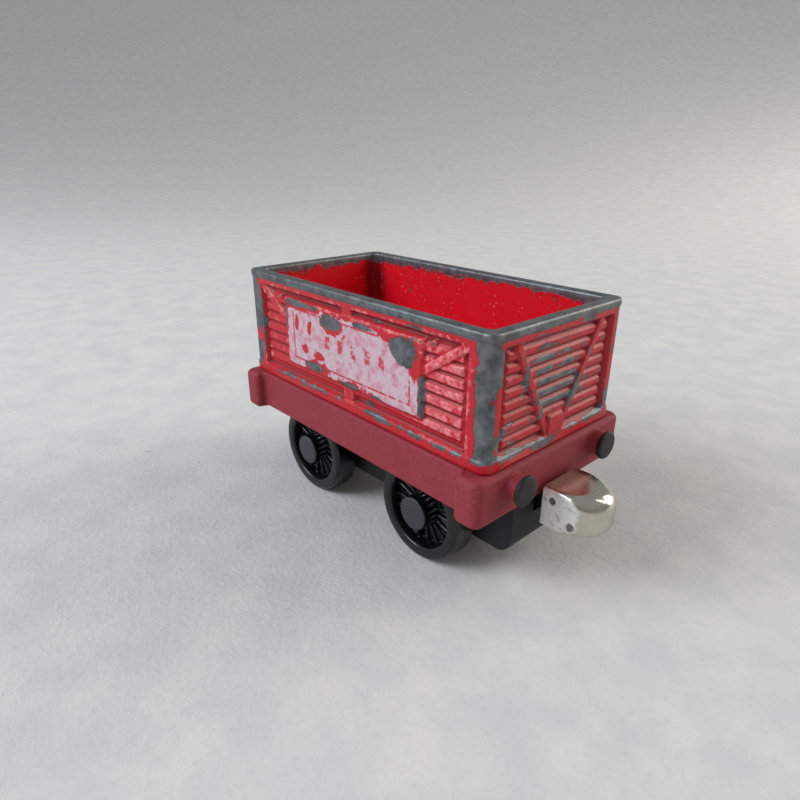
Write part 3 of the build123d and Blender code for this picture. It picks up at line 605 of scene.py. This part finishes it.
def quarter_plan():
    """A quarter of the chassis seen from above, from the middle of the front face round to
    the middle of the left sole bar: straight runs joined by arcs.  Each point has its
    outward direction and a lobe value, 1 on the headstock and 0 on the sole bar."""
    x, y, nx, ny, lobe = [], [], [], [], []

    def run(start, stop, outward, steps, lobes):
        share = np.linspace(0, 1, steps, endpoint=False)
        x.append(start[0] + (stop[0] - start[0]) * share)
        y.append(start[1] + (stop[1] - start[1]) * share)
        nx.append(np.full(steps, outward[0]))
        ny.append(np.full(steps, outward[1]))
        lobe.append(np.linspace(*lobes, steps, endpoint=False))

    def arc(centre, radius, degrees, outward, steps, lobes):
        angle = np.radians(np.linspace(*degrees, steps, endpoint=False))
        x.append(centre[0] + radius * np.cos(angle))
        y.append(centre[1] + radius * np.sin(angle))
        nx.append(outward * np.cos(angle))
        ny.append(outward * np.sin(angle))
        lobe.append(np.linspace(*lobes, steps, endpoint=False))

    toe, heel, foot = HEAD_FACE - TOE_ROUND, HEAD_BACK + HEEL_ROUND, HEAD_BACK - SOLE_FILLET
    ease = HEAD_BACK - SOLE_EASE
    run((HEAD_FACE, 0), (HEAD_FACE, HEAD_HALF - TOE_ROUND), (1.0, 0.0), 40, (1, 1))
    arc((toe, HEAD_HALF - TOE_ROUND), TOE_ROUND, (0, 90), 1, 14, (1, 1))
    run((toe, HEAD_HALF), (heel, HEAD_HALF), (0.0, 1.0), 8, (1, 1))
    arc((heel, HEAD_HALF - HEEL_ROUND), HEEL_ROUND, (90, 180), 1, 12, (1, 0.75))
    arc((foot, SOLE_HALF + SOLE_FILLET), SOLE_FILLET, (0, -90), -1, 12, (0.75, 0.15))
    run((foot, SOLE_HALF), (ease, SOLE_HALF), (0.0, 1.0), 8, (0.15, 0))
    run((ease, SOLE_HALF), (0, SOLE_HALF), (0.0, 1.0), 24, (0, 0))
    return [np.concatenate(part) for part in (x, y, nx, ny, lobe)]


qx, qy, qnx, qny, qlobe = quarter_plan()
plan_x, plan_nx = (np.concatenate([q, -q[::-1], -q, q[::-1]]) for q in (qx, qnx))
plan_y, plan_ny = (np.concatenate([q, q[::-1], -q, -q[::-1]]) for q in (qy, qny))
lobe = np.concatenate([qlobe, qlobe[::-1], qlobe, qlobe[::-1]])
level = 0 * lobe
hollow_x, hollow_y = np.clip(plan_x, -HEAD_BACK, HEAD_BACK), np.clip(plan_y, -HOLLOW_HALF, HOLLOW_HALF)
middle_x = np.clip(plan_x, HOLLOW_HALF - HEAD_BACK, HEAD_BACK - HOLLOW_HALF)
edge_round = SOLE_ROUND + HEAD_EXTRA_ROUND * lobe * lobe * (3 - 2 * lobe)
bottom = SOLE_BOTTOM + (HEAD_BOTTOM - SOLE_BOTTOM) * lobe

# from the middle of the deck's underside, round the skirt, to the middle of its top
rows = [(middle_x, level, DECK_UNDER + level), (hollow_x, hollow_y, DECK_UNDER + level)]
rows.append((hollow_x, hollow_y, bottom))
for angle in np.radians(np.linspace(0, 90, 9)):
    draw, climb = edge_round * (1 - math.sin(angle)), edge_round * (1 - math.cos(angle))
    rows.append((plan_x - plan_nx * draw, plan_y - plan_ny * draw, bottom + climb))
for part in (0.25, 0.5, 0.75):
    rows.append((plan_x, plan_y, bottom + edge_round + part * (DECK_TOP - bottom - 2 * edge_round)))
for angle in np.radians(np.linspace(90, 0, 9)):
    draw, climb = edge_round * (1 - math.sin(angle)), edge_round * (1 - math.cos(angle))
    rows.append((plan_x - plan_nx * draw, plan_y - plan_ny * draw, DECK_TOP - climb))
rows.append((np.clip(plan_x, -20, 20), np.clip(plan_y, -10, 10), DECK_TOP + level))
rows.append((middle_x, level, DECK_TOP + level))
skin = np.stack([np.stack(row, -1) for row in rows])
parts = [(skin.reshape(-1, 3), skin.shape[:2])]


def lathe(outline, steps, centre, axis):
    """Surface of revolution: each (radius, height) of the outline goes round the axis,
    which is 0, 1 or 2 for x, y or z, with height along it from the centre."""
    radius, height = np.array(outline, float).T
    angle = np.linspace(0, 2 * math.pi, steps, endpoint=False)
    out = np.empty((len(radius), steps, 3))
    out[..., (axis + 1) % 3] = radius[:, None] * np.cos(angle)
    out[..., (axis + 2) % 3] = radius[:, None] * np.sin(angle)
    out[..., axis] = height[:, None]
    return (out + np.array(centre)).reshape(-1, 3), (len(radius), steps)


def box_rows(low, high):
    """A block as a grid: its rectangle, walked round, is drawn in to its middle top and
    bottom."""
    (x0, y0, z0), (x1, y1, z1) = low, high
    x, y = np.array([x0, x1, x1, x0]), np.array([y0, y0, y1, y1])
    mx, my = np.full(4, (x0 + x1) / 2), np.full(4, (y0 + y1) / 2)
    floor_z, roof_z = np.full(4, z0), np.full(4, z1)
    grid = np.array([[mx, my, floor_z], [x, y, floor_z], [x, y, roof_z], [mx, my, roof_z]])
    return grid.transpose(0, 2, 1).reshape(-1, 3), (4, 4)


# radius and height over the headstock's face
COLLAR = [(0, -0.4), (1.9, -0.4), (1.9, 0.0), (1.79, 0.08), (1.75, 0.2), (1.75, 1.25), (1.7, 1.36),
          (1.6, COLLAR_DEPTH), (0.95, COLLAR_DEPTH), (0.95, 0.2), (0, 0.2)]
SLEEVE = [(SLEEVE_BORE, DECK_UNDER), (SLEEVE_BORE, SLEEVE_FOOT),
          (SLEEVE_RADIUS, SLEEVE_FOOT), (SLEEVE_RADIUS, DECK_UNDER)]
for end in (1, -1):
    for side in (1, -1):
        outline = [(radius, end * height) for radius, height in COLLAR]
        parts.append(lathe(outline, 48, (end * HEAD_FACE, side * BUFFER_Y, BUFFER_Z), 0))
        x, y = end * AXLE_X, side * KEEPER_Y
        keeper_low = (x - KEEPER_HALF_X, y - KEEPER_HALF_Y, KEEPER_FOOT)
        keeper_high = (x + KEEPER_HALF_X, y + KEEPER_HALF_Y, DECK_UNDER + 0.1)
        parts.append(box_rows(keeper_low, keeper_high))
    parts.append(lathe(SLEEVE, 32, (end * SLEEVE_X, 0, 0), 2))


def joined(name, parts, material):
    """One mesh of several grids."""
    points, faces = [], []
    for grid_points, (rows, columns) in parts:
        faces += grid_faces(rows, columns, first=sum(map(len, points)))
        points.append(grid_points)
    return mesh_piece(name, np.concatenate(points), faces, material)


def chassis_plastic():
    """Dull red plastic with a cloudy tone, a film of pale dust and a few pale specks."""
    plastic = Finish("chassis_plastic", Specular_IOR_Level=0.35)
    cloud = plastic.noise(7, 4, 0.6)
    dust = plastic.noise(0.5, 4, 0.7, (3, 1, 2))
    grain = plastic.noise(0.16, 2, 0.5)
    speck = plastic.noise(0.45, 2, 0.5, (8, 8, 1)).step(0.74, 0.79)
    colour = plastic.blend(srgb(152, 44, 54), srgb(132, 36, 45), cloud)
    colour = plastic.blend(colour, srgb(182, 108, 116), (dust - 0.35) * 0.45)
    colour = plastic.blend(colour, srgb(222, 170, 172), speck * 0.55)
    normal = plastic.bump(grain * 0.6 + dust * 0.4, 0.025)
    return plastic.finish(Base_Color=colour, Roughness=0.52 + dust * 0.25, Normal=normal)


chassis = joined("chassis_frame", parts, chassis_plastic())
close_up(chassis)
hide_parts("chassis")
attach(chassis, "body")


# ---------------------------------------------------------------- buffers
# Four black plugs with flat, scuffed faces, pushed into the collars.  Each is
# an outline turned about the buffer's axis.
def buffer_plastic():
    """Black plastic, greyed and roughened where the scuff noise is high."""
    black = Finish("buffer_plastic", Specular_IOR_Level=0.4)
    scuff = black.noise(0.9, 4, 0.65)
    grain = black.noise(0.2, 3, 0.6, (4, 4, 4))
    colour = black.blend(srgb(22, 22, 22), srgb(44, 46, 43), scuff.step(0.35, 0.7))
    normal = black.bump(scuff * 0.6 + grain * 0.4, 0.05)
    return black.finish(Base_Color=colour, Roughness=0.48 + scuff * 0.25, Normal=normal)


# radius and height over the collar's face
BUFFER = [(0, -1.8), (0.8, -1.8), (0.9, -1.7), (0.9, 0.0), (1.75, 0.0), (1.87, 0.04), (1.94, 0.14),
          (1.95, 0.3), (1.93, 0.48), (1.84, 0.6), (1.68, 0.66), (1.2, 0.69), (0.6, 0.70), (0, 0.70)]
buffer_finish = buffer_plastic()
for end_name, end in (("front", 1), ("rear", -1)):
    for side_name, side in (("left", 1), ("right", -1)):
        outline = [(radius, end * height) for radius, height in BUFFER]
        centre = (end * (HEAD_FACE + COLLAR_DEPTH), side * BUFFER_Y, BUFFER_Z)
        plug = lathe(outline, 56, centre, 0)
        head = joined(f"buffer_head_{end_name}_{side_name}", [plug], buffer_finish)
        close_up(head)
        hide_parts(f"buffer_{end_name}_{side_name}")
        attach(head, "body")


# ---------------------------------------------------------------- wheels
# Glossy black mouldings: a rounded rim, a deep web with thin spokes and two
# small bosses, and a flat dull hub that stands proud and rubs against things.
wheel_near, wheel_far = corners_of("wheel_front_left")
WHEEL_RADIUS, HUB_FACE, SPACER_FACE = wheel_far[2] / 2, wheel_far[1], wheel_near[1]
RIM_FACE, WEB_FACE, WEB_BACK, RIM_BACK, BORE_END = 11.6, 9.6, 8.7, 8.0, 11.5
TREAD_ROUND, BACK_ROUND = 0.65, 0.25
SPOKES, SPOKE_HALF, SPOKE_RISE = 18, 0.2, 0.7
BOSS_PLACE, BOSS_RADIUS, BOSS_RISE = 3.9, 0.75, 1.3

# radius and height over the hub's face, then radius and height over the middle plane
HUB = [(0, 0), (0.9, 0), (1.7, -0.01), (2.12, -0.02), (2.25, -0.05), (2.34, -0.12), (2.39, -0.24),
       (2.4, -0.42), (2.42, -2.62)]
RIM = [(5.2, 9.62), (5.27, 9.8), (5.36, 10.6), (5.44, 11.25), (5.52, 11.45), (5.66, 11.56),
       (5.85, RIM_FACE), (6.3, RIM_FACE)]
BACK = [(5.45, RIM_BACK), (5.4, WEB_BACK), (2.45, WEB_BACK), (2.4, RIM_BACK), (1.7, RIM_BACK),
        (1.65, SPACER_FACE), (0.82, SPACER_FACE), (0.8, SPACER_FACE + 0.1), (0.8, BORE_END), (0, BORE_END)]


def wheel_plastic():
    """Black; the hub's face, past 12.3 mm from the wagon's middle, is scuffed dull."""
    black = Finish("wheel_plastic", Specular_IOR_Level=0.5)
    hub = abs(black.axis("Y")).step(HUB_FACE - 0.2, HUB_FACE - 0.05)
    scuff = black.noise(0.7, 4, 0.65)
    dust = black.noise(0.35, 4, 0.7, (6, 5, 4))
    speck = black.noise(0.4, 2, 0.5, (1, 7, 7)).step(0.78, 0.82)
    colour = black.blend(srgb(9, 9, 12), srgb(24, 25, 31), dust.step(0.5, 0.85))
    dull = black.blend(srgb(40, 40, 46), srgb(62, 62, 68), scuff)
    colour = black.blend(colour, dull, hub)
    colour = black.blend(colour, srgb(110, 112, 118), speck * 0.5)
    rough = 0.26 + 0.16 * scuff.step(0.4, 0.8) + hub * 0.22
    return black.finish(Base_Color=colour, Roughness=rough, Normal=black.bump(scuff, 0.012))


def wheel_points(end, side):
    """Polar grid: rows are (radius, height over the wagon's middle plane), columns go round.
    On the web, where a point is near a spoke's line or inside a boss, that one's rise
    is added, through ramp()."""
    outline = [(radius, HUB_FACE + height) for radius, height in HUB]
    outline += [(radius, WEB_FACE) for radius in np.linspace(2.55, 5.1, 20)]
    outline += RIM
    for turn in np.radians(np.linspace(8, 90, 9)):
        outline.append((WHEEL_RADIUS - TREAD_ROUND * (1 - math.sin(turn)),
                        RIM_FACE - TREAD_ROUND * (1 - math.cos(turn))))
    outline += [(WHEEL_RADIUS, 9.8), (WHEEL_RADIUS, 8.45)]
    for turn in np.radians(np.linspace(0, 90, 5)):
        outline.append((WHEEL_RADIUS - BACK_ROUND * (1 - math.cos(turn)),
                        RIM_BACK + BACK_ROUND * (1 - math.sin(turn))))
    radius, height = np.array(outline + BACK).T[:, :, None]
    angle = np.linspace(0, 2 * math.pi, SPOKES * 16, endpoint=False)
    ahead, up = radius * np.cos(angle), radius * np.sin(angle)
    between = math.pi / SPOKES
    spoke_far = np.abs(radius * np.sin((angle + between) % (2 * between) - between))
    boss_at = math.radians(65 + 10 * end)
    boss_x, boss_z = BOSS_PLACE * math.cos(boss_at), BOSS_PLACE * math.sin(boss_at)
    boss_far = np.minimum(np.hypot(ahead - boss_x, up - boss_z), np.hypot(ahead + boss_x, up + boss_z))
    spoke = SPOKE_RISE * ramp(SPOKE_HALF - spoke_far, 0.16)
    boss = BOSS_RISE * ramp(BOSS_RADIUS - boss_far, 0.22)
    on_web = np.abs(height - WEB_FACE) < 0.05
    out = height + np.where(on_web, np.maximum(spoke, boss), 0)
    grid = np.stack([end * AXLE_X - side * ahead, side * out, AXLE_Z + up], -1)
    return grid.reshape(-1, 3), out.shape


wheel_finish = wheel_plastic()
for end_name, end in (("front", 1), ("rear", -1)):
    for side_name, side in (("left", 1), ("right", -1)):
        wheel = joined(f"disc_wheel_{end_name}_{side_name}", [wheel_points(end, side)], wheel_finish)
        close_up(wheel)
        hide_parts(f"wheel_{end_name}_{side_name}")
        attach(wheel, f"{end_name}_wheelset")


# ---------------------------------------------------------------- coupling caps
# Bright-plated steel shells with flat cheeks and a rounded nose.  The cheeks
# are rubbed dull; the arm's snap peg shows as a small dark dimple in each.
cap_near, cap_far = corners_of("front_coupler_cap")
CAP_BACK, CAP_NOSE, CAP_HALF = cap_near[0], cap_far[0], cap_far[1]
CAP_MIDDLE, CAP_HALF_HEIGHT = (cap_near[2] + cap_far[2]) / 2, (cap_far[2] - cap_near[2]) / 2
CAP_WALL, CHEEK_ROUND, NOSE_EXTRA_ROUND, CHEEK_COLUMNS = 0.45, 0.6, 1.4, 44
PEG_X, PEG_Z, DIMPLE_DEPTH, DIMPLE_RADIUS = 28.1, 12.9, 0.2, 0.46
RUB_X, RUB_Z = 30.9, 10.4


def cap_points(end):
    """Outer skin.  Columns follow the plan: cheek, half circle, cheek.  Rows go from the
    middle of the top over a rounded edge, down the side and under.  The edge's radius
    grows from 0.6 mm on the cheeks to 2 mm round the nose."""
    centre = CAP_NOSE - CAP_HALF
    cheek = np.linspace(CAP_BACK, centre, CHEEK_COLUMNS, endpoint=False)
    angle = np.radians(np.linspace(-90, 90, 64))
    still, beside = np.zeros(CHEEK_COLUMNS), np.ones(CHEEK_COLUMNS)
    nx = np.concatenate([still, np.cos(angle), still])
    ny = np.concatenate([-beside, np.sin(angle), beside])
    x = np.concatenate([cheek, centre + CAP_HALF * np.cos(angle), cheek[::-1]])
    y = CAP_HALF * ny
    top = np.full(len(x), CAP_HALF_HEIGHT)
    soft = CHEEK_ROUND + NOSE_EXTRA_ROUND * ramp(x - centre - 0.2, 4.2)
    rows = [(np.minimum(x, centre), 0 * y, top)]
    rows += [(x - nx * draw, y - ny * draw, top) for draw in (2.9, 2.3)]
    for turn in np.radians(np.linspace(0, 90, 12)):
        draw, drop = soft * (1 - math.sin(turn)), soft * (1 - math.cos(turn))
        rows.append((x - nx * draw, y - ny * draw, top - drop))
    wall_rows = [(x, y, (top - soft) * share) for share in np.linspace(1, -1, 40)[1:-1]]
    under = [(row_x, row_y, -row_z) for row_x, row_y, row_z in rows[::-1]]
    grid = np.stack([np.stack(row, -1) for row in rows + wall_rows + under])
    across = grid[..., 1]
    peg_far = np.hypot(grid[..., 0] - PEG_X, grid[..., 2] - (PEG_Z - CAP_MIDDLE))
    dent = DIMPLE_DEPTH * ramp(DIMPLE_RADIUS - peg_far, 0.16) * (np.abs(across) > CAP_HALF - 0.2)
    grid[..., 1] = across - np.sign(across) * dent
    grid[..., 0] *= end
    grid[..., 2] += CAP_MIDDLE
    return grid


def plated_finish():
    """Bright plating, mottled and finely scratched; the cheeks are duller and pitted, with
    a dark rubbed spot low on each, and painted shade darkening the snap peg's dimple."""
    chrome = Finish("plated_cap", Metallic=1.0)
    ahead, across, up = abs(chrome.axis("X")), abs(chrome.axis("Y")), chrome.axis("Z")
    cheek = across.step(CAP_HALF - 0.34, CAP_HALF - 0.06)
    mottle = chrome.noise(0.9, 4, 0.65)
    fine = chrome.noise(0.3, 3, 0.6, (4, 2, 1))
    streaks = chrome.noise(1 / 3, 3, 0.5, stretch=(1, 0.06, 1), turn=(0, 0, 0.5))
    colour = chrome.blend(srgb(212, 208, 196), srgb(186, 180, 166), mottle)
    dull = chrome.blend(srgb(232, 231, 227), srgb(158, 156, 148), mottle.step(0.5, 0.75))
    colour = chrome.blend(colour, dull, cheek)
    peg = (ahead - PEG_X) ** 2 + (up - PEG_Z) ** 2
    # painted shade: the peg's dimple is darkened as if it were deep
    dimple = (1 - peg.step(0.16, 0.27)) * across.step(CAP_HALF - 0.5, CAP_HALF - 0.4)
    rub = (ahead - RUB_X) ** 2 + (up - RUB_Z) ** 2 + (mottle - 0.5) * 1.2
    worn = (1 - rub.step(0.1, 0.5)) * cheek
    colour = chrome.blend(colour, srgb(70, 58, 50), worn.over(dimple) * 0.85)
    pits = fine.step(0.66, 0.75) * cheek
    colour = chrome.blend(colour, srgb(110, 104, 92), pits * 0.6)
    rough = 0.10 + mottle * 0.1 + streaks.step(0.62, 0.7) * 0.2 + cheek * 0.3
    normal = chrome.bump(mottle * 0.6 + fine * 0.4, 0.03)
    return chrome.finish(Base_Color=colour, Roughness=rough, Metallic=1 - 0.5 * cheek, Normal=normal)


cap_finish = plated_finish()
for end_name, end in (("front", 1), ("rear", -1)):
    grid = cap_points(end)
    faces = np.array(grid_faces(*grid.shape[:2])).reshape(-1, grid.shape[1], 4)
    open_faces = faces[:, :-1].reshape(-1, 4).tolist()
    cap = mesh_piece(f"{end_name}_coupling_cap", grid.reshape(-1, 3), open_faces, cap_finish)
    close_up(cap)
    shell = cap.modifiers.new("wall", "SOLIDIFY")
    shell.thickness = CAP_WALL * MM
    shell.offset = -1
    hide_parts(f"{end_name}_coupler_cap")
    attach(cap, f"{end_name}_coupler")


# ---------------------------------------------------------------- base, arms, axles, screws, magnets
# The hidden works keep their own solids: black mouldings, turned steel pins,
# zinc-plated screws and nickel-plated magnets.
def black_moulding():
    """Black plastic with a grey haze and a few pale specks."""
    black = Finish("black_plastic", Specular_IOR_Level=0.4)
    haze = black.noise(5, 4, 0.6)
    grain = black.noise(0.3, 3, 0.6, (2, 2, 2))
    speck = black.noise(0.5, 2, 0.5, (1, 9, 7)).step(0.75, 0.8)
    colour = black.blend(srgb(14, 14, 17), srgb(29, 30, 35), haze.step(0.3, 0.75))
    colour = black.blend(colour, srgb(96, 96, 98), speck * 0.5)
    return black.finish(Base_Color=colour, Roughness=0.42 + haze * 0.25, Normal=black.bump(grain, 0.02))


def turned_steel(name, pale_rub_and_highlight, dark, rough):
    """Bare metal with fine lines, drawn out along the y axis, and a few darker stains."""
    steel = Finish(name, Metallic=1.0)
    stain = steel.noise(1.4, 4, 0.6)
    lines = steel.noise(0.12, 2, 0.5, (1, 2, 3), (1, 0.1, 1))
    colour = steel.blend(pale_rub_and_highlight, dark, stain.step(0.4, 0.75))
    return steel.finish(Base_Color=colour, Roughness=rough + lines * 0.2, Normal=steel.bump(lines, 0.008))


black_finish = black_moulding()
axle_finish = turned_steel("axle_steel", srgb(186, 186, 184), srgb(140, 136, 130), 0.22)
screw_finish = turned_steel("screw_steel", srgb(176, 178, 182), srgb(126, 120, 110), 0.3)
magnet_finish = turned_steel("magnet_plate", srgb(196, 192, 182), srgb(150, 146, 138), 0.18)
finishes = {"base_plate": black_finish, "base_screws": screw_finish}
for end_name in ("front", "rear"):
    finishes[f"{end_name}_coupler_arm"] = black_finish
    finishes[f"{end_name}_axle"] = axle_finish
    finishes[f"{end_name}_magnet"] = magnet_finish
for node, finish in finishes.items():
    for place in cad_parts[node].material_slots:
        place.material = finish
